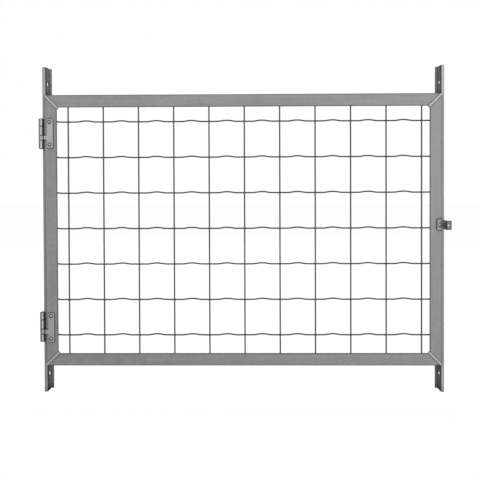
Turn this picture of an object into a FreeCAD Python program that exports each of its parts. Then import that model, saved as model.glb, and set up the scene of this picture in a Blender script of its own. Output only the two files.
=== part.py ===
import FreeCAD, Part
import math
import os

# Livestock panel gate: a welded mesh leaf in a mitred angle frame, hung between two wall rails.
# Millimetres. X runs from the hinge side to the latch side, Y from the front to the back, Z up.
# The origin is midway between the two fixing holes of the hinge rail, on its web's outer face.

Vec = FreeCAD.Vector

# Rails: a Z section each, with a front flange that laps the wall and a rear flange as the stop
RAIL_LENGTH = 930.0
RAIL_SHEET = 2.0
RAIL_FRONT = -18.0
RAIL_BACK = 10.0
RAIL_LAP = 7.0            # front flange, from the web's outer face away from the gateway
RAIL_STOP = 9.4           # rear flange, from the web's outer face into the gateway
RAIL_BEND = 0.8           # inner radius of each bend
RAIL_SPAN = 1128.6        # between the outer faces of the two webs
FIXING_RADIUS = 5.5
FIXING_HEIGHT = 418.5     # each fixing hole above or below the middle

# Leaf frame: four lengths of angle, mitred at the corners
LEAF_LEFT = 3.4
LEAF_RIGHT = 1125.4
LEAF_TOP = 383.0
LEAF_BOTTOM = -385.0
LEAF_FRONT = -32.0
ANGLE_LEG = 35.0
ANGLE_SHEET = 4.0
ANGLE_ROOT = 3.0          # radius in the angle's inner corner
ANGLE_TOE = 1.5           # radius on the inner side of each leg's free edge
ANGLE_EDGE = 1.8          # radius on the front of the face leg's free edge
ANGLE_HEEL = 1.6          # radius on the angle's outer corner

# Mitre welds: a low bead on the front of each corner
BEAD_WIDTH = 7.2
BEAD_HEIGHT = 2.0
BEAD_OVERRUN = 1.2        # how far a bead runs past the inner corner

# Mesh: straight upright wires in front, crimped cross wires behind them
WIRE_RADIUS = 2.0
UPRIGHT_COUNT = 11
UPRIGHT_FIRST = 69.2
UPRIGHT_PITCH = 100.0
CROSS_COUNT = 7
CROSS_LOWEST = -300.4
CROSS_PITCH = 101.3
CRIMP_FLAT = 20.0         # straight run each side of an upright
CRIMP_RISE = 3.0
WIRE_END_GAP = 3.5        # from a wire's end to the side leg of the angle, clear of its root radius

# Hinges: two butt hinges with four knuckles each, the third of them on the leaf's plate
HINGE_INSET = 66.5        # from the leaf's top or bottom edge to the nearer end of the hinge
HINGE_HEIGHT = 84.5
KNUCKLE_HEIGHTS = (21.0, 26.5, 13.0, 24.0)
GATE_KNUCKLE = 2
KNUCKLE_GAP = 1.0
KNUCKLE_CHAMFER = 0.8     # on the outer edge of each knuckle's ends
KNUCKLE_RADIUS = 6.5
KNUCKLE_BORE = 4.0
KNUCKLE_ROOT = 1.0        # from the side of a knuckle to where its plate starts
ROLL_SLIT = 0.6
HINGE_SHEET = 2.5
PIN_RADIUS = 3.95
PIN_HEAD_RADIUS = 5.2
PIN_HEAD_HEIGHT = 1.4
PIN_X = -8.8
PIN_Y = RAIL_FRONT - KNUCKLE_RADIUS
GATE_PLATE_LEFT = 9.7
GATE_PLATE_RIGHT = 28.7
GATE_PLATE_CORNER = 5.5
GATE_PLATE_EDGE = 1.6     # radius round the front of the plate
CRANK_END = 3.1           # where the tongue, cranked forward from its knuckle, is flush with the plate
RAIL_PLATE_RIGHT = 2.0
RAIL_WELD_LEG = 2.2
RAIL_WELD_INSET = 1.0     # from the free edge of the rail's front flange

# Rivets, all with domed heads
RIVET_HEAD_RADIUS = 5.8
RIVET_HEAD_HEIGHT = 3.6
RIVET_SHANK = 3.0
RIVET_TAIL_RADIUS = 4.8
RIVET_TAIL_HEIGHT = 2.6
HINGE_RIVET_X = 18.7
HINGE_RIVET_TOP = 9.4     # below the plate's top edge
HINGE_RIVET_BOTTOM = 11.3  # above the plate's bottom edge

# Latch bracket: one strap, bent forward and then outward, with an eye in its tab
STRAP_SHEET = 2.5
STRAP_BEND = 0.8
LATCH_MIDDLE = 14.0
LATCH_PLATE_LEFT = 1109.7
LATCH_LEG_FACE = 1126.0
LATCH_PLATE_HEIGHT = 31.0
LATCH_STRAP_HEIGHT = 25.5
LATCH_TAB_FRONT = -60.0
LATCH_TAB_RIGHT = 1141.0
EYE_RADIUS = 2.5
EYE_FROM_LEG = 6.6
LATCH_RIVET_X = 1118.5
LATCH_RIVET_Z = 12.5
LATCH_RIVET_HEAD = 6.4    # radius
LATCH_RIVET_RISE = 2.6
LATCH_CORNER = 2.5
LATCH_EDGE = 1.0          # radius round the front of the plate and the tab

OVERRUN = 1.0             # how far a cutting tool runs past what it cuts
NEAR = 0.01               # how close an edge has to be to a place to count as there


def box(x0, x1, y0, y1, z0, z1):
    """An upright box between two corners."""
    return Part.makeBox(x1 - x0, y1 - y0, z1 - z0, Vec(x0, y0, z0))


def rod(radius, start, end):
    """A round bar between two points."""
    along = end - start
    return Part.makeCylinder(radius, along.Length, start, along)


def prism(points, along):
    """A closed outline of points, extruded."""
    outline = Part.makePolygon(points + points[:1])
    return Part.Face(outline).extrude(along)


def round_edges(shape, radius, wanted):
    """Fillet the straight edges that a test on their two ends picks out."""
    edges = []
    for edge in shape.Edges:
        if len(edge.Vertexes) == 2 and wanted(edge.Vertexes[0].Point, edge.Vertexes[1].Point):
            edges.append(edge)
    return shape.makeFillet(radius, edges)


def runs_along_z_at(x, y):
    """A test for an upright edge at one place in plan."""
    def test(a, b):
        return max(abs(a.x - x), abs(b.x - x), abs(a.y - y), abs(b.y - y)) < NEAR
    return test


def dome(radius, height, base, outward):
    """A low domed head: the cap of a sphere, on a flat base."""
    ball = (radius ** 2 + height ** 2) / (2 * height)
    sphere = Part.makeSphere(ball, base - outward * (ball - height))
    reach = outward * height
    return sphere.common(rod(radius + OVERRUN, base, base + reach))


def mirrored_to_latch_side(shape):
    """The same shape on the other rail."""
    return shape.mirror(Vec(RAIL_SPAN / 2, 0, 0), Vec(1, 0, 0))


def hinge_rail():
    """A Z-section rail with two fixing holes through its web."""
    bottom = -RAIL_LENGTH / 2
    t = RAIL_SHEET
    outline = [
        Vec(-RAIL_LAP, RAIL_FRONT, bottom),
        Vec(t, RAIL_FRONT, bottom),
        Vec(t, RAIL_BACK - t, bottom),
        Vec(RAIL_STOP, RAIL_BACK - t, bottom),
        Vec(RAIL_STOP, RAIL_BACK, bottom),
        Vec(0, RAIL_BACK, bottom),
        Vec(0, RAIL_FRONT + t, bottom),
        Vec(-RAIL_LAP, RAIL_FRONT + t, bottom),
    ]
    rail = prism(outline, Vec(0, 0, RAIL_LENGTH))
    rail = round_edges(rail, RAIL_BEND + t, runs_along_z_at(t, RAIL_FRONT))
    rail = round_edges(rail, RAIL_BEND + t, runs_along_z_at(0, RAIL_BACK))
    rail = round_edges(rail, RAIL_BEND, runs_along_z_at(t, RAIL_BACK - t))
    rail = round_edges(rail, RAIL_BEND, runs_along_z_at(0, RAIL_FRONT + t))
    for height in (-FIXING_HEIGHT, FIXING_HEIGHT):
        rail = rail.cut(rod(FIXING_RADIUS, Vec(-OVERRUN, 0, height), Vec(t + OVERRUN, 0, height)))
    return rail


def angle_bar(heel, inward, along, length):
    """A length of angle: one leg in the leaf's face, the other going back from its outer edge."""
    back = Vec(0, 1, 0)
    leg = ANGLE_LEG
    t = ANGLE_SHEET
    corners = [(0, 0), (leg, 0), (leg, t), (t, t), (t, leg), (0, leg)]
    points = [heel + inward * a + back * b for a, b in corners]
    bar = prism(points, along * length)

    def edge_at(a, b):
        place = heel + inward * a + back * b

        def test(p, q):
            offsets = [(p - place) - along * (p - place).dot(along),
                       (q - place) - along * (q - place).dot(along)]
            return max(offsets[0].Length, offsets[1].Length) < NEAR
        return test

    bar = round_edges(bar, ANGLE_ROOT, edge_at(t, t))
    bar = round_edges(bar, ANGLE_TOE, edge_at(leg, t))
    bar = round_edges(bar, ANGLE_TOE, edge_at(t, leg))
    bar = round_edges(bar, ANGLE_EDGE, edge_at(leg, 0))
    return round_edges(bar, ANGLE_HEEL, edge_at(0, 0))


def mitre(bar, corner, inward_x, inward_z, level):
    """Cut a bar's end at 45 degrees from a leaf corner: a level bar keeps the side above or below."""
    reach = 2 * ANGLE_LEG
    inward = Vec(inward_x, 0, inward_z) * reach
    waste_way = Vec(-inward_x, 0, inward_z) if level else Vec(inward_x, 0, -inward_z)
    start = corner - inward
    end = corner + inward
    away = waste_way * reach
    waste = prism([start, end, end + away, start + away], Vec(0, 2 * ANGLE_LEG, 0))
    return bar.cut(waste)


def leaf_corner(side_x, side_z):
    """A front corner of the leaf, a little ahead of its face, and the way inward from it."""
    x = LEAF_LEFT if side_x < 0 else LEAF_RIGHT
    z = LEAF_BOTTOM if side_z < 0 else LEAF_TOP
    return Vec(x, LEAF_FRONT - ANGLE_LEG / 2, z), -side_x, -side_z


def leaf_bar(side_x, side_z):
    """One side of the leaf frame, mitred at both ends: side_x for a stile, side_z for a rail."""
    width = LEAF_RIGHT - LEAF_LEFT
    height = LEAF_TOP - LEAF_BOTTOM
    if side_x:
        x = LEAF_LEFT if side_x < 0 else LEAF_RIGHT
        bar = angle_bar(Vec(x, LEAF_FRONT, LEAF_BOTTOM), Vec(-side_x, 0, 0), Vec(0, 0, 1), height)
        ends = [(side_x, -1), (side_x, 1)]
    else:
        z = LEAF_BOTTOM if side_z < 0 else LEAF_TOP
        bar = angle_bar(Vec(LEAF_LEFT, LEAF_FRONT, z), Vec(0, 0, -side_z), Vec(1, 0, 0), width)
        ends = [(-1, side_z), (1, side_z)]
    for end in ends:
        corner, inward_x, inward_z = leaf_corner(*end)
        bar = mitre(bar, corner, inward_x, inward_z, bool(side_z))
    return bar


def corner_bead(side_x, side_z):
    """A weld bead along one mitre, on the leaf's face."""
    corner, inward_x, inward_z = leaf_corner(side_x, side_z)
    corner.y = LEAF_FRONT
    along = Vec(inward_x, 0, inward_z).normalize()
    length = ANGLE_LEG * math.sqrt(2) + BEAD_OVERRUN
    radius = ((BEAD_WIDTH / 2) ** 2 + BEAD_HEIGHT ** 2) / (2 * BEAD_HEIGHT)
    sink = Vec(0, radius - BEAD_HEIGHT, 0)
    bead = rod(radius, corner + sink, corner + sink + along * length)
    face = box(LEAF_LEFT, LEAF_RIGHT, LEAF_FRONT - BEAD_WIDTH, LEAF_FRONT, LEAF_BOTTOM, LEAF_TOP)
    return bead.common(face)


def upright_wire(index):
    """A straight mesh wire against the back of the leaf's face."""
    x = UPRIGHT_FIRST + UPRIGHT_PITCH * index
    y = LEAF_FRONT + ANGLE_SHEET + WIRE_RADIUS
    end = ANGLE_SHEET + WIRE_END_GAP
    return rod(WIRE_RADIUS, Vec(x, y, LEAF_BOTTOM + end), Vec(x, y, LEAF_TOP - end))


def crimp(x, y, z):
    """The path of one cell of a cross wire: straight, up over a crimp, and straight again."""
    quarter = (UPRIGHT_PITCH - 2 * CRIMP_FLAT) / 4
    half_rise = CRIMP_RISE / 2
    radius = (quarter ** 2 + half_rise ** 2) / (2 * half_rise)
    swing = math.asin(quarter / radius) / 2
    dip_x = radius * math.sin(swing)
    dip_z = radius * (1 - math.cos(swing))
    left = x + CRIMP_FLAT
    right = x + UPRIGHT_PITCH - CRIMP_FLAT
    middle = x + UPRIGHT_PITCH / 2
    crest = z + CRIMP_RISE
    foot_left = Vec(left, y, z)
    foot_right = Vec(right, y, z)
    slope_left = Vec(left + quarter, y, z + half_rise)
    slope_right = Vec(right - quarter, y, z + half_rise)
    return [
        Part.LineSegment(Vec(x, y, z), foot_left).toShape(),
        Part.Arc(foot_left, Vec(left + dip_x, y, z + dip_z), slope_left).toShape(),
        Part.Arc(slope_left, Vec(middle, y, crest), slope_right).toShape(),
        Part.Arc(slope_right, Vec(right - dip_x, y, z + dip_z), foot_right).toShape(),
        Part.LineSegment(foot_right, Vec(x + UPRIGHT_PITCH, y, z)).toShape(),
    ]


def cross_wire(index):
    """A crimped mesh wire that runs behind the uprights from stile to stile."""
    y = LEAF_FRONT + ANGLE_SHEET + 3 * WIRE_RADIUS
    z = CROSS_LOWEST + CROSS_PITCH * index
    first = UPRIGHT_FIRST - UPRIGHT_PITCH
    path = []
    for cell in range(UPRIGHT_COUNT + 1):
        path += crimp(first + UPRIGHT_PITCH * cell, y, z)
    section = Part.Wire(Part.makeCircle(WIRE_RADIUS, Vec(first, y, z), Vec(1, 0, 0)))
    wire = Part.Wire(path).makePipeShell([section], True, False)
    end = ANGLE_SHEET + WIRE_END_GAP
    reach = 2 * CRIMP_RISE + WIRE_RADIUS
    room = box(LEAF_LEFT + end, LEAF_RIGHT - end, y - reach, y + reach, z - reach, z + reach)
    return wire.common(room)


def hinge_bottom(side_z):
    """The height of a hinge's lower end."""
    if side_z > 0:
        return LEAF_TOP - HINGE_INSET - HINGE_HEIGHT
    return LEAF_BOTTOM + HINGE_INSET


def knuckle_span(side_z, index):
    """The lower and upper end of one knuckle, counted from the top of the hinge."""
    top = hinge_bottom(side_z) + HINGE_HEIGHT - sum(KNUCKLE_HEIGHTS[:index])
    bottom = top - KNUCKLE_HEIGHTS[index]
    trim = KNUCKLE_GAP / 2
    low = bottom if index == len(KNUCKLE_HEIGHTS) - 1 else bottom + trim
    high = top if index == 0 else top - trim
    return low, high


def knuckle(low, high, tongue, slit_y):
    """A plate's end rolled round the pin: a ring joined to its tongue, with the slit of the roll."""
    ring = rod(KNUCKLE_RADIUS, Vec(PIN_X, PIN_Y, low), Vec(PIN_X, PIN_Y, high))
    rims = [edge for edge in ring.Edges if edge.BoundBox.ZLength < NEAR]
    ring = ring.makeChamfer(KNUCKLE_CHAMFER, rims)
    rolled = ring.fuse(tongue).removeSplitter()
    below = low - OVERRUN
    above = high + OVERRUN
    bore = rod(KNUCKLE_BORE, Vec(PIN_X, PIN_Y, below), Vec(PIN_X, PIN_Y, above))
    slit = box(PIN_X, PIN_X + KNUCKLE_RADIUS, slit_y, slit_y + ROLL_SLIT, below, above)
    return rolled.cut(bore).cut(slit)


def hinge_rail_plate(side_z):
    """The hinge plate on the rail's front flange, with three knuckles."""
    back = RAIL_FRONT
    front = RAIL_FRONT - HINGE_SHEET
    bottom = hinge_bottom(side_z)
    root = PIN_X + KNUCKLE_RADIUS + KNUCKLE_ROOT
    plate = box(root, RAIL_PLATE_RIGHT, front, back, bottom, bottom + HINGE_HEIGHT)
    for index in range(len(KNUCKLE_HEIGHTS)):
        if index == GATE_KNUCKLE:
            continue
        low, high = knuckle_span(side_z, index)
        tongue = box(PIN_X, root, front, back, low, high)
        plate = plate.fuse(knuckle(low, high, tongue, front - ROLL_SLIT))
    return plate.removeSplitter()


def hinge_gate_plate(side_z):
    """The hinge plate on the leaf's face, with a tongue cranked back to its one knuckle."""
    back = LEAF_FRONT
    front = LEAF_FRONT - HINGE_SHEET
    bottom = hinge_bottom(side_z)
    top = bottom + HINGE_HEIGHT
    plate = box(GATE_PLATE_LEFT, GATE_PLATE_RIGHT, front, back, bottom, top)

    def corner(a, b):
        return abs(a.y - b.y) > HINGE_SHEET / 2

    def front_edge(a, b):
        return max(a.y, b.y) < front + NEAR

    plate = round_edges(plate, GATE_PLATE_CORNER, corner)
    plate = round_edges(plate, GATE_PLATE_EDGE, front_edge)
    low, high = knuckle_span(side_z, GATE_KNUCKLE)
    tongue_front = PIN_Y - KNUCKLE_RADIUS
    tongue_back = tongue_front + HINGE_SHEET
    crank_start = PIN_X + KNUCKLE_RADIUS + KNUCKLE_ROOT
    root = GATE_PLATE_LEFT + GATE_PLATE_EDGE
    outline = [
        Vec(PIN_X, tongue_front, low),
        Vec(crank_start, tongue_front, low),
        Vec(CRANK_END, front, low),
        Vec(root, front, low),
        Vec(root, back, low),
        Vec(CRANK_END, back, low),
        Vec(crank_start, tongue_back, low),
        Vec(PIN_X, tongue_back, low),
    ]
    tongue = prism(outline, Vec(0, 0, high - low))
    plate = plate.fuse(knuckle(low, high, tongue, tongue_back)).removeSplitter()
    for height in hinge_rivet_heights(side_z):
        plate = plate.cut(rod(RIVET_SHANK, Vec(HINGE_RIVET_X, front - OVERRUN, height),
                              Vec(HINGE_RIVET_X, back + OVERRUN, height)))
    return plate


def hinge_pin(side_z):
    """A hinge pin, peened over at both ends."""
    low = Vec(PIN_X, PIN_Y, hinge_bottom(side_z))
    high = low + Vec(0, 0, HINGE_HEIGHT)
    up = Vec(0, 0, 1)
    pin = rod(PIN_RADIUS, low, high)
    pin = pin.fuse(dome(PIN_HEAD_RADIUS, PIN_HEAD_HEIGHT, high, up))
    return pin.fuse(dome(PIN_HEAD_RADIUS, PIN_HEAD_HEIGHT, low, up * -1)).removeSplitter()


def hinge_rivet_heights(side_z):
    """The heights of one hinge's two rivets."""
    bottom = hinge_bottom(side_z)
    return bottom + HINGE_RIVET_BOTTOM, bottom + HINGE_HEIGHT - HINGE_RIVET_TOP


def rivet(x, z, plate_front, head_radius, head_height, tail):
    """A domed rivet through a plate and the leaf's face, with or without a head at its tail."""
    head = Vec(x, plate_front, z)
    foot = Vec(x, LEAF_FRONT + ANGLE_SHEET, z)
    back = Vec(0, 1, 0)
    body = rod(RIVET_SHANK, head, foot).fuse(dome(head_radius, head_height, head, back * -1))
    if tail:
        body = body.fuse(dome(RIVET_TAIL_RADIUS, RIVET_TAIL_HEIGHT, foot, back))
    return body.removeSplitter()


def hinge_rivets(side_z):
    """The two rivets of one hinge."""
    front = LEAF_FRONT - HINGE_SHEET
    rivets = []
    for height in hinge_rivet_heights(side_z):
        rivets.append(rivet(HINGE_RIVET_X, height, front, RIVET_HEAD_RADIUS, RIVET_HEAD_HEIGHT, True))
    return rivets


def hinge_weld(side_z, above):
    """A fillet weld along the top or bottom edge of a rail plate, on the rail's flange."""
    bottom = hinge_bottom(side_z)
    z = bottom + HINGE_HEIGHT if above else bottom
    way = 1 if above else -1
    x = -RAIL_LAP + RAIL_WELD_INSET
    length = RAIL_LAP - RAIL_WELD_INSET - RAIL_BEND
    corners = [Vec(x, RAIL_FRONT, z),
               Vec(x, RAIL_FRONT - RAIL_WELD_LEG, z),
               Vec(x, RAIL_FRONT, z + way * RAIL_WELD_LEG)]
    return prism(corners, Vec(length, 0, 0))


def latch_bracket():
    """A strap on the latch stile: plate, leg forward, and tab outward with an eye."""
    t = STRAP_SHEET
    back = LEAF_FRONT
    face = LATCH_LEG_FACE
    half = LATCH_STRAP_HEIGHT / 2
    low = LATCH_MIDDLE - half
    outline = [
        Vec(LATCH_PLATE_LEFT, back, low),
        Vec(face + t, back, low),
        Vec(face + t, LATCH_TAB_FRONT + t, low),
        Vec(LATCH_TAB_RIGHT, LATCH_TAB_FRONT + t, low),
        Vec(LATCH_TAB_RIGHT, LATCH_TAB_FRONT, low),
        Vec(face, LATCH_TAB_FRONT, low),
        Vec(face, back - t, low),
        Vec(LATCH_PLATE_LEFT, back - t, low),
    ]
    strap = prism(outline, Vec(0, 0, LATCH_STRAP_HEIGHT))
    strap = round_edges(strap, STRAP_BEND + t, runs_along_z_at(face + t, back))
    strap = round_edges(strap, STRAP_BEND + t, runs_along_z_at(face, LATCH_TAB_FRONT))
    strap = round_edges(strap, STRAP_BEND, runs_along_z_at(face, back - t))
    strap = round_edges(strap, STRAP_BEND, runs_along_z_at(face + t, LATCH_TAB_FRONT + t))

    def tab_corner(a, b):
        same_x = max(abs(a.x - LATCH_TAB_RIGHT), abs(b.x - LATCH_TAB_RIGHT)) < NEAR
        return same_x and abs(a.y - b.y) > t / 2

    def tab_front(a, b):
        past_bend = face + STRAP_BEND + t + OVERRUN
        return max(a.y, b.y) < LATCH_TAB_FRONT + NEAR and max(a.x, b.x) > past_bend

    strap = round_edges(strap, LATCH_CORNER, tab_corner)
    strap = round_edges(strap, LATCH_EDGE, tab_front)
    tall = LATCH_PLATE_HEIGHT / 2
    plate_right = face - STRAP_BEND
    plate = box(LATCH_PLATE_LEFT, plate_right, back - t, back, LATCH_MIDDLE - tall, LATCH_MIDDLE + tall)

    def left_corner(a, b):
        same_x = max(abs(a.x - LATCH_PLATE_LEFT), abs(b.x - LATCH_PLATE_LEFT)) < NEAR
        return same_x and abs(a.y - b.y) > t / 2

    def plate_front(a, b):
        not_right = min(a.x, b.x) < plate_right - NEAR
        return max(a.y, b.y) < back - t + NEAR and not_right

    plate = round_edges(plate, LATCH_CORNER, left_corner)
    plate = round_edges(plate, LATCH_EDGE, plate_front)
    strap = strap.cut(box(LATCH_PLATE_LEFT - OVERRUN, plate_right, back - t - OVERRUN, back + OVERRUN,
                          low - OVERRUN, low + LATCH_STRAP_HEIGHT + OVERRUN))
    bracket = strap.fuse(plate).removeSplitter()
    eye_x = face + EYE_FROM_LEG
    eye = rod(EYE_RADIUS, Vec(eye_x, LATCH_TAB_FRONT - OVERRUN, LATCH_MIDDLE),
              Vec(eye_x, LATCH_TAB_FRONT + t + OVERRUN, LATCH_MIDDLE))
    hole = rod(RIVET_SHANK, Vec(LATCH_RIVET_X, back - t - OVERRUN, LATCH_RIVET_Z),
               Vec(LATCH_RIVET_X, back + OVERRUN, LATCH_RIVET_Z))
    return bracket.cut(eye).cut(hole)


def drilled(bar, places):
    """A leaf bar with rivet holes through its face leg."""
    for x, z in places:
        start = Vec(x, LEAF_FRONT - OVERRUN, z)
        bar = bar.cut(rod(RIVET_SHANK, start, Vec(x, LEAF_FRONT + ANGLE_SHEET, z)))
    return bar


def all_nodes():
    """Every piece of the gate by name; a group of like fasteners is a list of solids."""
    nodes = {}
    rail = hinge_rail()
    nodes["hinge_rail"] = rail
    nodes["latch_rail"] = mirrored_to_latch_side(rail)
    hinge_holes = []
    rail_welds = []
    for name, side_z in (("upper", 1), ("lower", -1)):
        nodes[name + "_hinge_rail_plate"] = hinge_rail_plate(side_z)
        nodes[name + "_hinge_gate_plate"] = hinge_gate_plate(side_z)
        nodes[name + "_hinge_pin"] = hinge_pin(side_z)
        nodes[name + "_hinge_rivets"] = hinge_rivets(side_z)
        hinge_holes += [(HINGE_RIVET_X, height) for height in hinge_rivet_heights(side_z)]
        rail_welds += [hinge_weld(side_z, True), hinge_weld(side_z, False)]
    nodes["hinge_rail_welds"] = rail_welds

    nodes["leaf_top_angle"] = leaf_bar(0, 1)
    nodes["leaf_bottom_angle"] = leaf_bar(0, -1)
    nodes["leaf_hinge_stile"] = drilled(leaf_bar(-1, 0), hinge_holes)
    nodes["leaf_latch_stile"] = drilled(leaf_bar(1, 0), [(LATCH_RIVET_X, LATCH_RIVET_Z)])
    for name_z, side_z in (("top", 1), ("bottom", -1)):
        for name_x, side_x in (("hinge", -1), ("latch", 1)):
            nodes["corner_weld_" + name_z + "_" + name_x] = corner_bead(side_x, side_z)

    for index in range(UPRIGHT_COUNT):
        nodes["upright_wire_%02d" % (index + 1)] = upright_wire(index)
    for index in range(CROSS_COUNT):
        nodes["cross_wire_%d" % (index + 1)] = cross_wire(index)

    nodes["latch_bracket"] = latch_bracket()
    nodes["latch_rivet"] = rivet(LATCH_RIVET_X, LATCH_RIVET_Z, LEAF_FRONT - STRAP_SHEET,
                                 LATCH_RIVET_HEAD, LATCH_RIVET_RISE, False)
    return nodes


os.makedirs("parts", exist_ok=True)
for node, shape in all_nodes().items():
    if isinstance(shape, list):
        shape = Part.makeCompound(shape)
    if len(shape.Solids) == 1:
        shape = shape.Solids[0]
    box_size = shape.BoundBox
    print("%-26s solids %d valid %s volume %9.1f  X %8.2f..%8.2f Y %7.2f..%7.2f Z %8.2f..%8.2f" % (
        node, len(shape.Solids), shape.isValid(), shape.Volume, box_size.XMin, box_size.XMax,
        box_size.YMin, box_size.YMax, box_size.ZMin, box_size.ZMax))
    shape.exportStep("parts/" + node + ".step")
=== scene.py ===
import math

import bpy
from mathutils import Matrix, Vector, noise


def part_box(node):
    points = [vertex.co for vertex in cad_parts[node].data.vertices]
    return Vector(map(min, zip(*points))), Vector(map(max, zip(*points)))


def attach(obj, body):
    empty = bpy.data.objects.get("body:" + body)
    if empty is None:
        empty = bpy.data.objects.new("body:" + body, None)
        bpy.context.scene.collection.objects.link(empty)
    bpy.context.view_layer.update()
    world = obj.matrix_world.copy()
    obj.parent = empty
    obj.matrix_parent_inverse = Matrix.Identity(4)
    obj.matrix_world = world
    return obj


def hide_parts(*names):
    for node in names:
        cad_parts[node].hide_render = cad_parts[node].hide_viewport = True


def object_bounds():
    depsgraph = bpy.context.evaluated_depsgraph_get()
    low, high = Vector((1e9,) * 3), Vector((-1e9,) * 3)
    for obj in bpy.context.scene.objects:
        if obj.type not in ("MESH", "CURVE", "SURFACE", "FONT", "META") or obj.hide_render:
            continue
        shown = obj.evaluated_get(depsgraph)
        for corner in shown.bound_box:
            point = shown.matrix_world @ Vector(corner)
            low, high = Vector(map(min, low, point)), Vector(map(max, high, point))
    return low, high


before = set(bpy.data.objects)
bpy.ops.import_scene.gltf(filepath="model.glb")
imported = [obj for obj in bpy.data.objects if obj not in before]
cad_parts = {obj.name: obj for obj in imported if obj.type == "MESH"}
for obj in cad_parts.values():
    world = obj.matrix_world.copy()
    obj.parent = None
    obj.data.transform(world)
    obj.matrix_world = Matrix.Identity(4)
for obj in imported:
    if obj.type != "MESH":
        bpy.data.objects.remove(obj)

# The looks of a livestock panel gate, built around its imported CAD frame.
# Metres: X from the hinge side to the latch side, Y from the front to the back, Z up.

MM = 0.001
RIGHT = Vector((1, 0, 0))
BACK = Vector((0, 1, 0))
WHITE = (1, 1, 1, 1)

# Viewpoint
CAMERA_PLACE = (0.5936, -1.450, 0.156)
CAMERA_TILT = -0.634       # degrees
CAMERA_ROLL = 0.211
CAMERA_YAW = 0.574
CAMERA_LENS = 37.708       # for the default 36 mm sensor
CAMERA_SHIFT_X = -0.0168
CAMERA_SHIFT_Y = -0.1246

# Light that the steel sees but the camera doesn't, by direction
FRONT_LEVEL = 0.57
FRONT_SLOPE_X = 0.80       # brighter towards the latch side
FRONT_SLOPE_Z = 0.25       # brighter towards the top
FRONT_EDGE = 0.50          # cosine of the angle where the front light ends
FRONT_FULL = 0.88          # and where it is full
WINDOWS = (
    ((0.72, -0.68, 0.14), 0.42),   # a brighter patch each side: direction and level
    ((-0.64, -0.76, 0.14), 0.26),
)
WINDOW_EDGE = 0.86
WINDOW_FULL = 0.98
ABOVE_LEVEL = 0.06
SIDE_LEVEL = 0.045
BEHIND_LEVEL = 0.02
DIM_EDGE = 0.60            # cosines between which the light above and behind changes
DIM_FULL = 0.95

# Lamps and floor
KEY_POWER = 110
KEY_OFFSET = Vector((-1.6, -3.8, 2.6))
KEY_SIZE = (2.0, 2.0)
BACK_POWER = 110
BACK_OFFSET = Vector((0, 2.6, 1.7))
BACK_SIZE = (2.4, 1.4)
FLOOR_HALF = 9.0
FLOOR_GAP = 0.3 * MM       # between the rails' lower ends and the floor
FLOOR_ROUGHNESS = 0.9
FLOOR_GLOW = 0.97
FLOOR_SHADE = 0.05
FLOOR_CLOUD = 0.4          # size of the faint clouds in the floor's shade
FLOOR_CLOUDING = 0.01

# Patterns in the zinc, by the size of one feature
GRAIN = 0.9 * MM
SPECK = 3.2 * MM
STREAK = 2.4 * MM
BAND = 9.0 * MM
CLOUD = 140 * MM
CRYSTAL_WARP = 0.6         # how uneven the crystals' borders are
CREASE_SHADE_REACH = 3.5 * MM    # how far the painted shade line in an inner corner goes
OCCLUSION_RAYS = 6
BEVEL_RAYS = 4
EVENLY = (1, 1, 1)
ALONG_X = (0.04, 1, 1)     # streaks drawn out along X
ALONG_Z = (1, 1, 0.04)

# The leaf's parts
ANGLE_SHEET = 4 * MM
WIRE_RADIUS = 2 * MM
UPRIGHTS = range(1, 12)
CROSS_WIRES = range(1, 8)
LEAF_BODY = "gate_leaf"
RAIL_BODY = "rails"


# ---------------------------------------------------------------- node helpers

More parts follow.
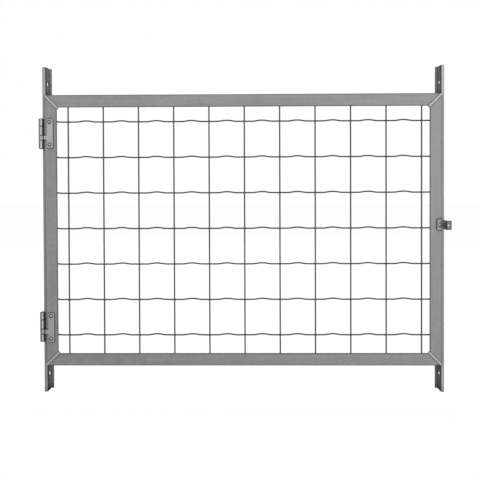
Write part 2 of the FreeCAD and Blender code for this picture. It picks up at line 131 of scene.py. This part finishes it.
class Shader:
    """A node tree with short calls to add and join nodes."""

    def __init__(self, tree, coordinates="Object"):
        self.tree = tree
        self.tree.nodes.clear()
        self.place = self.add("ShaderNodeTexCoord").outputs[coordinates]

    def add(self, kind, **settings):
        node = self.tree.nodes.new(kind)
        for key, value in settings.items():
            setattr(node, key, value)
        return node

    def join(self, source, target):
        if isinstance(source, (int, float)):
            target.default_value = source
        else:
            self.tree.links.new(source, target)

    def math(self, operation, first, second=0.0, third=0.0, clamp=False):
        node = self.add("ShaderNodeMath", operation=operation, use_clamp=clamp)
        for source, target in zip((first, second, third), node.inputs):
            self.join(source, target)
        return node.outputs[0]

    def remap(self, value, low, high, to_low, to_high, interpolation="LINEAR"):
        node = self.add("ShaderNodeMapRange", interpolation_type=interpolation)
        node.inputs["From Min"].default_value = low
        node.inputs["From Max"].default_value = high
        node.inputs["To Min"].default_value = to_low
        node.inputs["To Max"].default_value = to_high
        self.join(value, node.inputs["Value"])
        return node.outputs[0]

    def around_one(self, value, swing):
        """Turn 0 to 1 into a factor that swings about 1."""
        return self.math("MULTIPLY_ADD", value, 2 * swing, 1 - swing)

    def grey(self, shade):
        """One value as a colour."""
        colour = self.add("ShaderNodeCombineColor")
        for channel in colour.inputs:
            self.join(shade, channel)
        return colour.outputs[0]

    def axis(self, name):
        """One coordinate of the place, by its letter."""
        axes = self.add("ShaderNodeSeparateXYZ")
        self.join(self.place, axes.inputs[0])
        return axes.outputs[name]

    def stretched(self, stretch):
        """Object coordinates, squeezed so that a pattern is drawn out along an axis."""
        node = self.add("ShaderNodeMapping")
        node.inputs["Scale"].default_value = stretch
        self.join(self.place, node.inputs["Vector"])
        return node.outputs[0]

    def noise(self, feature, detail=3.0, roughness=0.55, place=None):
        """Smooth noise from 0 to 1 with features of one length, in metres."""
        node = self.add("ShaderNodeTexNoise")
        node.inputs["Scale"].default_value = 1 / feature
        node.inputs["Detail"].default_value = detail
        node.inputs["Roughness"].default_value = roughness
        self.join(place or self.place, node.inputs["Vector"])
        return node.outputs["Fac"]

    def crystals(self, size, warp):
        """One random value from 0 to 1 for each zinc crystal, with uneven borders."""
        drift = self.add("ShaderNodeTexNoise")
        drift.inputs["Scale"].default_value = 2 / size
        self.join(self.place, drift.inputs["Vector"])
        push = self.add("ShaderNodeVectorMath", operation="MULTIPLY_ADD")
        self.join(drift.outputs["Color"], push.inputs[0])
        push.inputs[1].default_value = (warp * size,) * 3
        self.join(self.place, push.inputs[2])
        cells = self.add("ShaderNodeTexVoronoi", feature="F1")
        cells.inputs["Scale"].default_value = 1 / size
        self.join(push.outputs[0], cells.inputs["Vector"])
        split = self.add("ShaderNodeSeparateColor")
        self.join(cells.outputs["Color"], split.inputs[0])
        return split.outputs[0]

    def open_sky(self, distance, **settings):
        """How open the surroundings are: 1 in the open, less where something is near."""
        node = self.add("ShaderNodeAmbientOcclusion", samples=OCCLUSION_RAYS, **settings)
        node.inputs["Distance"].default_value = distance
        return node.outputs["AO"]


# ------------------------------------------------------------------- materials

def rubbed_edges(s, rounded, specks):
    """1 on outer edges that are worn bright, in patches, and 0 on flat faces."""
    geometry = s.add("ShaderNodeNewGeometry")
    facing = s.add("ShaderNodeVectorMath", operation="DOT_PRODUCT")
    s.join(rounded, facing.inputs[0])
    s.join(geometry.outputs["Normal"], facing.inputs[1])
    edge = s.remap(facing.outputs["Value"], 0.99, 0.8, 0.0, 1.0)
    return s.math("MULTIPLY", edge, s.remap(specks, 0.35, 0.65, 0.3, 1.0))


def painted_crease_and_edge_shade(s, painted_crease_shade, painted_edge_shade, border):
    """Painted shade: less than 1 in the creases of a shape, and in a border along its free edges."""
    painted_hollow_shade = s.remap(s.open_sky(CREASE_SHADE_REACH), 0.55, 0.95, 1 - painted_crease_shade, 1.0)
    if painted_edge_shade:
        thin = s.open_sky(border, inside=True, only_local=True)
        painted_hollow_shade = s.math("MULTIPLY", painted_hollow_shade, s.remap(thin, 0.62, 0.99, 1 - painted_edge_shade, 1.0))
    return painted_hollow_shade


def zinc(name, tone, gloss, drawn=EVENLY, streaks=0.05, crystal=11 * MM, crystals=0.08, grain=0.10,
         clouds=0.05, reach=22 * MM, painted_corner_shade_depth=0.5, painted_crease_shade=0.6, painted_edge_shade=0.6, border=2.4 * MM,
         forward_darkening=None, wear=0.10, round_edge=0.4 * MM, relief=0.06 * MM, metal=0.78):
    """Zinc on steel: crystals, fine grain, lengthwise streaks, painted shade in corners, creases and
    along free edges, and bright worn edges.
    """
    material = bpy.data.materials.new(name)
    material.use_nodes = True
    s = Shader(material.node_tree)
    crystal_value = s.crystals(crystal, CRYSTAL_WARP)
    grain_value = s.noise(GRAIN, 4.0, 0.65)
    speck_value = s.noise(SPECK, 3.0, 0.7)
    streak_value = s.noise(STREAK, 4.0, 0.6, s.stretched(drawn))
    band_value = s.noise(BAND, 2.0, 0.5, s.stretched(drawn))
    cloud_value = s.noise(CLOUD, 3.0, 0.5)

    bevel = s.add("ShaderNodeBevel", samples=BEVEL_RAYS)
    bevel.inputs["Radius"].default_value = round_edge
    edge = rubbed_edges(s, bevel.outputs[0], speck_value)
    # Painted shade: the colour darkens within reach of other parts, in corners and recesses; the same
    # mask also makes those places rougher.
    painted_corner_shade = s.remap(s.open_sky(reach), 0.30, 0.95, 1 - painted_corner_shade_depth, 1.0)
    painted_hollow_shade = painted_crease_and_edge_shade(s, painted_crease_shade, painted_edge_shade, border)

    shade = s.around_one(crystal_value, crystals)
    patterns = (
        (grain_value, grain),
        (speck_value, grain),
        (streak_value, streaks),
        (band_value, streaks),
        (cloud_value, clouds),
    )
    for value, swing in patterns:
        shade = s.math("MULTIPLY", shade, s.around_one(value, swing))
    # the painted shade from corners, creases and free edges multiplies the colour here
    shade = s.math("MULTIPLY", shade, s.math("MULTIPLY", painted_corner_shade, painted_hollow_shade))
    shade = s.math("MULTIPLY", shade, s.math("MULTIPLY_ADD", edge, wear, 1.0))
    # darker towards the front, between two depths along Y; on the latch strap's forward step this is
    # painted shade
    if forward_darkening:
        start, end, level = forward_darkening
        shade = s.math("MULTIPLY", shade, s.remap(s.axis("Y"), start, end, 1.0, level))
    shade = s.math("MULTIPLY", shade, tone, clamp=True)

    rough = s.math("MULTIPLY_ADD", crystal_value, 0.10, gloss - 0.05)
    rough = s.math("MULTIPLY_ADD", streak_value, 0.10, s.math("SUBTRACT", rough, 0.05))
    rough = s.math("MULTIPLY_ADD", edge, -0.10, rough)
    rough = s.math("MULTIPLY_ADD", painted_corner_shade, -0.15, s.math("ADD", rough, 0.15), clamp=True)

    height = s.math("MULTIPLY_ADD", grain_value, 0.5, s.math("MULTIPLY", speck_value, 0.9))
    height = s.math("MULTIPLY_ADD", streak_value, 0.6, height)
    height = s.math("MULTIPLY_ADD", crystal_value, 0.25, height)
    bump = s.add("ShaderNodeBump")
    bump.inputs["Strength"].default_value = 1.0
    bump.inputs["Distance"].default_value = relief
    s.join(height, bump.inputs["Height"])
    s.join(bevel.outputs[0], bump.inputs["Normal"])

    surface = s.add("ShaderNodeBsdfPrincipled")
    surface.inputs["Metallic"].default_value = metal
    s.join(s.grey(shade), surface.inputs["Base Color"])
    s.join(rough, surface.inputs["Roughness"])
    s.join(bump.outputs[0], surface.inputs["Normal"])
    output = s.add("ShaderNodeOutputMaterial")
    s.join(surface.outputs[0], output.inputs["Surface"])
    return material


def rail_zinc():
    """Hot-dip zinc on folded sheet, streaked along the rail."""
    return zinc("rail_zinc", 0.72, 0.32, ALONG_Z, streaks=0.14, crystals=0.08, painted_corner_shade_depth=0.62,
                relief=0.03 * MM, border=1.5 * MM, metal=0.90)


def angle_zinc(name, drawn):
    """Dull hot-dip zinc on angle iron, with painted shade in its creases and along its free edges."""
    return zinc(name, 0.60, 0.50, drawn, streaks=0.16, painted_crease_shade=0.85, painted_edge_shade=0.6, border=3.8 * MM)


def wire_zinc():
    """Dark drawn wire."""
    return zinc("wire_zinc", 0.22, 0.45, streaks=0.04, crystal=4 * MM, relief=0.03 * MM, painted_edge_shade=0)


def weld_zinc():
    """Bright zinc over a rippled bead."""
    return zinc("weld_zinc", 0.98, 0.38, streaks=0.03, crystal=4 * MM, grain=0.08,
                relief=0.05 * MM, painted_corner_shade_depth=0.2, painted_crease_shade=0.3, painted_edge_shade=0)


def hardware_zinc():
    """Plated pressed steel of the hinges."""
    return zinc("hardware_zinc", 0.88, 0.34, crystal=6 * MM, crystals=0.03, relief=0.04 * MM,
                reach=9 * MM, painted_corner_shade_depth=0.4, painted_edge_shade=0.3, metal=0.95)


def bracket_zinc():
    """The latch strap, darker on the part that stands out in front of its plate; on its forward step
    this is painted shade.
    """
    return zinc("bracket_zinc", 0.80, 0.42, crystal=6 * MM, crystals=0.03, relief=0.04 * MM,
                reach=6 * MM, painted_corner_shade_depth=0.1, painted_crease_shade=0.3, painted_edge_shade=0.7,
                forward_darkening=(-35.5 * MM, -39 * MM, 0.48), metal=0.95)


def rivet_zinc():
    """Polished domed heads."""
    return zinc("rivet_zinc", 0.84, 0.26, crystal=3 * MM, crystals=0.03, relief=0.02 * MM,
                reach=4 * MM, painted_corner_shade_depth=0.3, painted_crease_shade=0.4, painted_edge_shade=0, metal=0.95)


SKINS = {
    "rail": rail_zinc(),
    "level_angle": angle_zinc("level_angle_zinc", ALONG_X),
    "upright_angle": angle_zinc("upright_angle_zinc", ALONG_Z),
    "wire": wire_zinc(),
    "weld": weld_zinc(),
    "hardware": hardware_zinc(),
    "bracket": bracket_zinc(),
    "rivet": rivet_zinc(),
}


def coat(node, skin):
    """Give a CAD node or a new piece one of the materials."""
    data = node.data
    data.materials.clear()
    data.materials.append(SKINS[skin])


# ---------------------------------------------------------------- mesh helpers

def new_piece(name, vertices, faces, skin, body):
    """A smooth mesh piece that rides on a body."""
    mesh = bpy.data.meshes.new(name)
    mesh.from_pydata(vertices, [], faces)
    mesh.validate()
    piece = bpy.data.objects.new(name, mesh)
    bpy.context.scene.collection.objects.link(piece)
    mesh.polygons.foreach_set("use_smooth", [True] * len(mesh.polygons))
    coat(piece, skin)
    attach(piece, body)
    return piece


def closed_tube(rings, vertices, faces):
    """Add a tube of closed rings with a point at each end, so that nothing is open."""
    first = len(vertices)
    count = len(rings[0])
    for ring in rings:
        vertices.extend(ring)
    for row in range(len(rings) - 1):
        for column in range(count):
            a = first + row * count + column
            b = first + row * count + (column + 1) % count
            faces.append((a, b, b + count, a + count))
    for row, turn in ((0, -1), (len(rings) - 1, 1)):
        tip = len(vertices)
        vertices.append(sum(rings[row], Vector()) / count)
        for column in range(count):
            a = first + row * count + column
            b = first + row * count + (column + 1) % count
            faces.append((a, b, tip) if turn > 0 else (b, a, tip))


def scallop(distance, pitch):
    """The overlapping ripples of a hand-laid weld: rounded crests and sharp valleys."""
    return math.sqrt(abs(math.sin(math.pi * distance / pitch)))


def weld_rings(path, half_width, height, sink, ripple, pitch, seed, columns=20):
    """Rings of a weld bead. Each path entry is (place, along, outward, distance, fullness)."""
    sway_share, sway_rate = 0.06, 260        # sideways wander: share of the half width, per metre
    swell_share, swell_rate = 0.10, 420      # change of width
    rough_share, rough_rate = 0.05, 900      # unevenness of the crown
    crown = 0.6                              # below 1: a flatter crown with steeper sides
    trailing = 0.55                          # how far a ripple's sides lag behind, in ripples
    ripple_middle = 0.7
    rings = []
    for place, along, outward, distance, fullness in path:
        side = along.cross(outward)
        sway = sway_share * noise.noise(Vector((distance * sway_rate, seed, 0)))
        swell = swell_share * noise.noise(Vector((distance * swell_rate, seed, 5)))
        breadth = half_width * fullness * (1 + swell)
        ring = []
        for column in range(columns):
            turn = 2 * math.pi * column / columns
            across = math.cos(turn)
            rise = math.sin(turn)
            if rise > 0:
                lag = trailing * pitch * across * across
                wave = scallop(distance + lag, pitch) - ripple_middle
                lift = height * fullness * rise ** crown + ripple * fullness * rise * wave
                spot = Vector((distance * rough_rate, across * 2, seed))
                lift += rough_share * height * noise.noise(spot)
            else:
                lift = sink * fullness * rise
            ring.append(place + side * (across * breadth + sway * half_width) + outward * lift)
        rings.append(ring)
    return rings


def lump_rings(centre, radii, axis, seed, rows=8, columns=16, star=0.0, rough=0.12):
    """Rings of a small uneven lump. star swells it between the two crossing wires."""
    rough_scale = 1.7
    shift = Vector((seed, seed * 0.37, 0))   # another part of the noise for each lump
    u = axis.orthogonal().normalized()
    if abs(axis.dot(BACK)) > 0.9:
        u = RIGHT
    v = axis.cross(u)
    rings = []
    for row in range(rows):
        lift = math.pi * (row + 0.5) / rows
        ring = []
        for column in range(columns):
            turn = 2 * math.pi * column / columns
            reach = math.sin(lift) * (1 - star * math.cos(4 * turn))
            way = u * (math.cos(turn) * reach) + v * (math.sin(turn) * reach) - axis * math.cos(lift)
            swell = 1 + rough * noise.noise(way * rough_scale + shift)
            offset = u * (way.dot(u) * radii[0]) + v * (way.dot(v) * radii[1])
            offset += axis * (way.dot(axis) * radii[2])
            ring.append(centre + offset * swell)
        rings.append(ring)
    return rings


# ------------------------------------------------------------- welded corners

def bead_path(start, along, outward, mitre, sheet):
    """Over the face from near the outer corner, round the inner corner, and back through it."""
    bend = 1.6 * MM            # radius of the path at both ends
    first = 3.6 * MM           # from the outer corner to the bead's full height
    last = mitre + 1.4 * MM
    step = 0.28 * MM
    dive = math.radians(55)    # how steeply the outer end goes into the face
    turns = 9
    falls = 8
    path = []
    centre = start + along * first - outward * bend
    for index in range(turns):
        share = index / turns
        angle = -dive * (1 - share)
        normal = outward * math.cos(angle) + along * math.sin(angle)
        tangent = along * math.cos(angle) - outward * math.sin(angle)
        fullness = 0.3 + 0.7 * math.sqrt(share)
        path.append((centre + normal * bend, tangent, normal, first + bend * angle, fullness))
    straight = int((last - first) / step)
    for index in range(straight + 1):
        distance = first + (last - first) * index / straight
        path.append((start + along * distance, along, outward, distance, 1.0))
    centre = start + along * last - outward * bend
    for index in range(1, turns + 1):
        angle = math.pi / 2 * index / turns
        normal = outward * math.cos(angle) + along * math.sin(angle)
        tangent = along * math.cos(angle) - outward * math.sin(angle)
        distance += bend * math.pi / 2 / turns
        path.append((centre + normal * bend, tangent, normal, distance, 1 - 0.1 * index / turns))
    base = centre + along * bend
    drop = sheet - bend - 0.2 * MM
    for index in range(1, falls + 1):
        distance += drop / falls
        fullness = 0.9 * math.sqrt(max(0.05, 1 - (index / falls) ** 3))
        path.append((base - outward * (drop * index / falls), -outward, along, distance, fullness))
    return path


def corner_bead(name, face_y, corner, inward, leg, sheet):
    """The rippled bead along one mitre."""
    half_width = 3.6 * MM
    sink = 0.5 * MM
    ripple = 0.30 * MM
    pitch = 2.1 * MM
    node = "corner_weld_" + name
    low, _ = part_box(node)
    proud = face_y - low.y
    along = Vector((inward.x, 0, inward.z)).normalized()
    start = Vector((corner.x, face_y, corner.z))
    path = bead_path(start, along, -BACK, leg * math.sqrt(2), sheet)
    seed = 3.0 * inward.x + 7.0 * inward.z + 20
    rings = weld_rings(path, half_width, proud, sink, ripple, pitch, seed)
    vertices, faces = [], []
    closed_tube(rings, vertices, faces)
    piece = new_piece("corner_bead_" + name, vertices, faces, "weld", LEAF_BODY)
    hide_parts(node)


def all_corner_beads():
    """A rippled bead on each of the leaf's four mitres."""
    left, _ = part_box("leaf_hinge_stile")
    _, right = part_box("leaf_latch_stile")
    top_low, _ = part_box("leaf_top_angle")
    leg = right.z - top_low.z
    places = {
        "top_hinge": (left.x, right.z, 1, -1),
        "top_latch": (right.x, right.z, -1, -1),
        "bottom_hinge": (left.x, left.z, 1, 1),
        "bottom_latch": (right.x, left.z, -1, 1),
    }
    for name, (x, z, way_x, way_z) in places.items():
        corner = Vector((x, left.y, z))
        corner_bead(name, left.y, corner, Vector((way_x, 0, way_z)), leg, ANGLE_SHEET)


# --------------------------------------------------------------- welded mesh

def pinch_rings(x, y, z, radius, seed):
    """A short sleeve on an upright wire: flattened in front where the welding electrode pressed it."""
    rows = 9
    columns = 20
    reach = 3.6 * MM
    plain_share = 0.96         # just inside the wire away from the weld
    bluntness = 0.55           # below 1 squares the pressed section off
    wider = 1.07
    deeper = 1.005
    rough = 0.015
    rings = []
    for row in range(rows):
        level = -1 + 2 * row / (rows - 1)
        squeeze = math.cos(math.pi / 2 * level) ** 2
        ring = []
        for column in range(columns):
            turn = 2 * math.pi * column / columns
            plain = Vector((math.cos(turn), -math.sin(turn), 0)) * (radius * plain_share)
            across = math.copysign(abs(math.cos(turn)) ** bluntness, math.cos(turn)) * radius * wider
            ahead = math.copysign(abs(math.sin(turn)) ** bluntness, math.sin(turn)) * radius * deeper
            pressed = Vector((across, -ahead, 0)) if ahead > 0 else plain
            spot = plain.lerp(pressed, squeeze)
            spot *= 1 + rough * noise.noise(Vector((turn, level * 2, seed)))
            ring.append(Vector((x, y, z + level * reach)) + spot)
        rings.append(ring)
    return rings


def crossing_welds():
    """The spot welds where the cross wires meet the uprights, one piece for each cross wire."""
    radii = (3.0 * MM, 3.0 * MM, 1.35 * MM)
    uprights = [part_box("upright_wire_%02d" % number) for number in UPRIGHTS]
    for number in CROSS_WIRES:
        low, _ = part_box("cross_wire_%d" % number)
        vertices, faces = [], []
        for index, (upright_low, upright_high) in enumerate(uprights):
            radius = (upright_high.x - upright_low.x) / 2
            x = upright_low.x + radius
            y = upright_low.y + radius
            z = low.z + radius
            seed = number * 13.1 + index * 2.7
            contact = Vector((x, y + radius, z))
            closed_tube(lump_rings(contact, radii, BACK, seed, star=0.13), vertices, faces)
            closed_tube(pinch_rings(x, y, z, radius, seed), vertices, faces)
        new_piece("crossing_welds_%d" % number, vertices, faces, "wire", LEAF_BODY)


def tack(centre, radii, seed, vertices, faces):
    """One uneven lump of weld on the back of an angle."""
    closed_tube(lump_rings(centre, radii, BACK, seed, rough=0.3), vertices, faces)


def upright_end_welds(side, way, face_back):
    """Two tacks on the upper or lower end of every upright wire."""
    tacks = ((5.5 * MM, 1.3), (18.5 * MM, 4.1))    # distance from the wire's end, noise seed
    radii = (4.6 * MM, 3.4 * MM, 1.9 * MM)
    vertices, faces = [], []
    for number in UPRIGHTS:
        low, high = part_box("upright_wire_%02d" % number)
        x = (low.x + high.x) / 2
        end = high.z if way > 0 else low.z
        for inset, seed in tacks:
            sway = 0.6 * MM * noise.noise(Vector((number * 3.3, seed, 0)))
            centre = Vector((x + sway, face_back + 0.4 * MM, end - way * inset))
            tack(centre, radii, seed + number, vertices, faces)
    new_piece("end_welds_" + side, vertices, faces, "weld", LEAF_BODY)


def cross_end_welds(side, way, face_back):
    """Two tacks on the hinge or latch end of every cross wire, thick enough to reach the angle."""
    tacks = ((5.0 * MM, 2.2), (17.0 * MM, 6.6))
    vertices, faces = [], []
    for number in CROSS_WIRES:
        low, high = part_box("cross_wire_%d" % number)
        end = high.x if way > 0 else low.x
        wire_y = high.y - WIRE_RADIUS
        middle_y = (face_back + wire_y) / 2
        radii = (4.4 * MM, 4.2 * MM, (wire_y - face_back) / 2 + 0.9 * MM)
        for inset, seed in tacks:
            centre = Vector((end - way * inset, middle_y, low.z + WIRE_RADIUS))
            tack(centre, radii, seed + number, vertices, faces)
    new_piece("end_welds_" + side, vertices, faces, "weld", LEAF_BODY)


def end_welds():
    """The tack welds that hold the wire ends to the back of the leaf's angles."""
    face_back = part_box("upright_wire_01")[0].y
    for side, way in (("top", 1), ("bottom", -1)):
        upright_end_welds(side, way, face_back)
    for side, way in (("hinge", -1), ("latch", 1)):
        cross_end_welds(side, way, face_back)


# --------------------------------------------------------------- rail welds

def rail_welds():
    """Short rippled fillets along the ends of the hinge plates on the hinge rail."""
    half_width = 1.7 * MM
    height = 0.8 * MM
    sink = 1.0 * MM
    ripple = 0.2 * MM
    pitch = 1.6 * MM
    lift_off = 0.6 * MM        # from the corner between plate and flange to the fillet's middle
    rows = 22
    columns = 16
    flange_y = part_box("upper_hinge_rail_plate")[1].y
    weld_low, weld_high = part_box("hinge_rail_welds")
    vertices, faces = [], []
    for name in ("upper", "lower"):
        low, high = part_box(name + "_hinge_rail_plate")
        for z, way in ((high.z, 1), (low.z, -1)):
            outward = Vector((0, -1, way)).normalized()
            path = []
            for index in range(rows + 1):
                share = index / rows
                x = weld_low.x + (weld_high.x - weld_low.x) * share
                fullness = math.sqrt(max(0.08, 1 - abs(2 * share - 1) ** 4))
                place = Vector((x, flange_y - lift_off, z + way * lift_off))
                path.append((place, RIGHT, outward, x, fullness))
            rings = weld_rings(path, half_width, height, sink, ripple, pitch, z * 40, columns)
            closed_tube(rings, vertices, faces)
    piece = new_piece("rail_fillets", vertices, faces, "weld", RAIL_BODY)
    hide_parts("hinge_rail_welds")


# ------------------------------------------------------------------ CAD nodes

def skin_of(node):
    """The material of a CAD node, by its name."""
    if node in ("hinge_rail", "latch_rail"):
        return "rail"
    if node in ("leaf_top_angle", "leaf_bottom_angle"):
        return "level_angle"
    if node in ("leaf_hinge_stile", "leaf_latch_stile"):
        return "upright_angle"
    if "wire" in node:
        return "wire"
    if node == "latch_bracket":
        return "bracket"
    if "rivet" in node or "pin" in node:
        return "rivet"
    if "weld" in node:
        return "weld"
    return "hardware"


def dress_cad_nodes():
    """Materials for every CAD node."""
    for name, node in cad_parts.items():
        coat(node, skin_of(name))


# ---------------------------------------------------------- floor, light, view

def floor_coat():
    """A pale, faintly clouded floor that glows enough to stay white."""
    material = bpy.data.materials.new("pale_floor")
    material.use_nodes = True
    s = Shader(material.node_tree)
    surface = s.add("ShaderNodeBsdfPrincipled")
    surface.inputs["Roughness"].default_value = FLOOR_ROUGHNESS
    surface.inputs["Emission Color"].default_value = WHITE
    surface.inputs["Emission Strength"].default_value = FLOOR_GLOW
    clouds = s.around_one(s.noise(FLOOR_CLOUD), FLOOR_CLOUDING)
    s.join(s.grey(s.math("MULTIPLY", clouds, FLOOR_SHADE)), surface.inputs["Base Color"])
    output = s.add("ShaderNodeOutputMaterial")
    s.join(surface.outputs[0], output.inputs["Surface"])
    return material


def pale_floor(level):
    """A plain floor that the steel neither reflects nor is lit by."""
    half = FLOOR_HALF
    mesh = bpy.data.meshes.new("studio_floor")
    corners = [(-half, -half, level), (half, -half, level), (half, half, level), (-half, half, level)]
    mesh.from_pydata(corners, [], [(0, 1, 2, 3)])
    mesh.materials.append(floor_coat())
    floor = bpy.data.objects.new("studio_floor", mesh)
    bpy.context.scene.collection.objects.link(floor)
    floor.visible_glossy = False
    floor.visible_diffuse = False


def softbox(name, target, offset, size, power):
    """A rectangular area light that faces a target and isn't reflected in the steel."""
    light = bpy.data.lights.new(name, "AREA")
    light.shape = "RECTANGLE"
    light.size, light.size_y = size
    light.energy = power
    lamp = bpy.data.objects.new(name, light)
    lamp.location = target + offset
    lamp.rotation_euler = (-offset).to_track_quat("-Z", "Y").to_euler()
    lamp.visible_camera = False
    lamp.visible_glossy = False
    bpy.context.scene.collection.objects.link(lamp)


def studio_light(middle):
    """A soft key from the front left and a soft light at the back; the world gives the reflections."""
    softbox("key_light", middle, KEY_OFFSET, KEY_SIZE, KEY_POWER)
    softbox("back_light", middle, BACK_OFFSET, BACK_SIZE, BACK_POWER)


def light_by_direction(s):
    """What the steel sees: bright in front with two brighter patches, dim at the sides and behind."""
    front = s.math("MULTIPLY", s.axis("Y"), -1.0)
    level = s.remap(front, FRONT_EDGE, FRONT_FULL, 0.0, FRONT_LEVEL, "SMOOTHSTEP")
    slope = s.math("MULTIPLY_ADD", s.axis("X"), FRONT_SLOPE_X, 1.0)
    slope = s.math("MULTIPLY_ADD", s.axis("Z"), FRONT_SLOPE_Z, slope)
    level = s.math("MULTIPLY", level, slope)
    for direction, strength in WINDOWS:
        window = s.add("ShaderNodeVectorMath", operation="DOT_PRODUCT")
        s.join(s.place, window.inputs[0])
        window.inputs[1].default_value = direction
        nearness = window.outputs["Value"]
        patch = s.remap(nearness, WINDOW_EDGE, WINDOW_FULL, 0.0, strength, "SMOOTHSTEP")
        level = s.math("ADD", level, patch)
    above = s.remap(s.axis("Z"), DIM_EDGE, DIM_FULL, 0.0, ABOVE_LEVEL, "SMOOTHSTEP")
    around = s.remap(s.axis("Y"), DIM_EDGE, DIM_FULL, SIDE_LEVEL, BEHIND_LEVEL, "SMOOTHSTEP")
    return s.math("ADD", s.math("ADD", level, above), around)


def studio_world():
    """White behind everything for the camera, and the light by direction for everything else."""
    world = bpy.data.worlds.new("studio")
    bpy.context.scene.world = world
    world.use_nodes = True
    s = Shader(world.node_tree, "Generated")
    seen = s.add("ShaderNodeBackground")
    seen.inputs["Strength"].default_value = 1.0
    seen.inputs["Color"].default_value = WHITE
    unseen = s.add("ShaderNodeBackground")
    s.join(light_by_direction(s), unseen.inputs["Strength"])
    mix = s.add("ShaderNodeMixShader")
    s.join(s.add("ShaderNodeLightPath").outputs["Is Camera Ray"], mix.inputs[0])
    s.join(unseen.outputs[0], mix.inputs[1])
    s.join(seen.outputs[0], mix.inputs[2])
    output = s.add("ShaderNodeOutputWorld")
    s.join(mix.outputs[0], output.inputs["Surface"])


def viewpoint():
    """The camera, in front of the leaf and a little above its middle, looking almost straight at it."""
    data = bpy.data.cameras.new("camera")
    data.lens = CAMERA_LENS
    data.shift_x = CAMERA_SHIFT_X
    data.shift_y = CAMERA_SHIFT_Y
    camera = bpy.data.objects.new("camera", data)
    turn = Matrix.Rotation(math.radians(CAMERA_YAW), 4, "Z")
    turn @= Matrix.Rotation(math.radians(CAMERA_TILT), 4, "X")
    turn @= Matrix.Rotation(math.radians(CAMERA_ROLL), 4, "Y")
    level_view = Matrix.Rotation(math.radians(90), 4, "X")
    camera.matrix_world = Matrix.Translation(CAMERA_PLACE) @ turn @ level_view
    bpy.context.scene.collection.objects.link(camera)
    bpy.context.scene.camera = camera


def colour_handling():
    """Plain colours, so that white stays white."""
    view = bpy.context.scene.view_settings
    view.view_transform = "Standard"
    view.look = "None"


cad_low, cad_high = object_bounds()
dress_cad_nodes()
all_corner_beads()
crossing_welds()
end_welds()
rail_welds()
pale_floor(cad_low.z - FLOOR_GAP)
studio_light((cad_low + cad_high) / 2)
studio_world()
viewpoint()
colour_handling()
